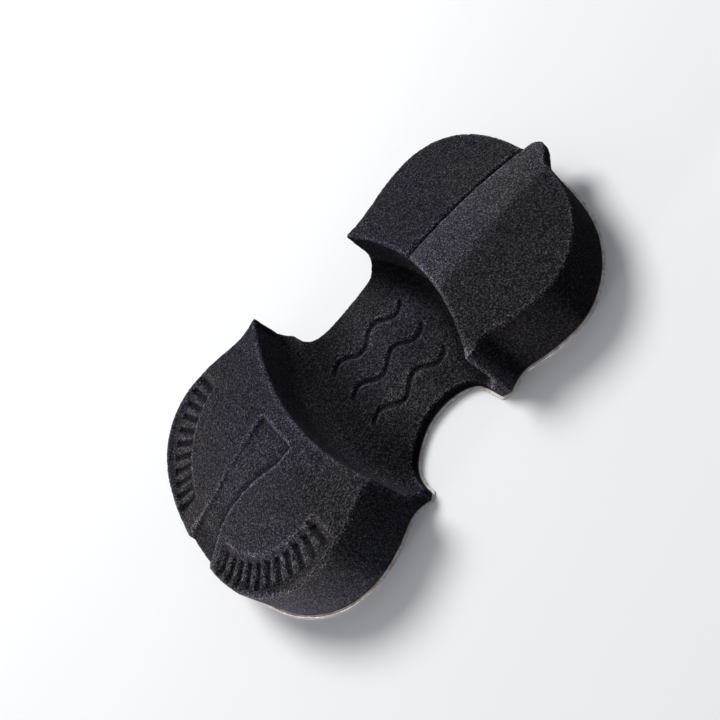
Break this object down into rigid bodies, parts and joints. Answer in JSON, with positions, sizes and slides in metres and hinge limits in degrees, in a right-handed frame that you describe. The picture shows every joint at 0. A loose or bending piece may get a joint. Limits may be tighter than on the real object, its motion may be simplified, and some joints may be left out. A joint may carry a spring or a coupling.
{
  "type": "violin shoulder rest",
  "caption": "Foam violin shoulder rest: two thick lobes joined by a low dished bridge, cut from one block on a thin peel-and-stick cling backing.",
  "frame": {"origin": "on the cling face, in the middle of the bridge between the two lobes", "axes": "+Z out of the cling face, up through the foam; +X along the long side towards the lobe with the raised strip; +Y towards the neck of the violin"},
  "size_m": [0.1831, 0.1046, 0.0293],
  "materials": {
    "foam": "matt open-cell polyurethane foam, charcoal",
    "adhesive": "tacky transfer adhesive, dark",
    "film": "thin grey carrier film",
    "cling": "soft tacky cling layer, off-white"
  },
  "bodies": {
    "root": {"foam_body": "foam", "bonding_adhesive": "adhesive", "carrier_film": "film", "cling_layer": "cling"}
  },
  "joints": []
}
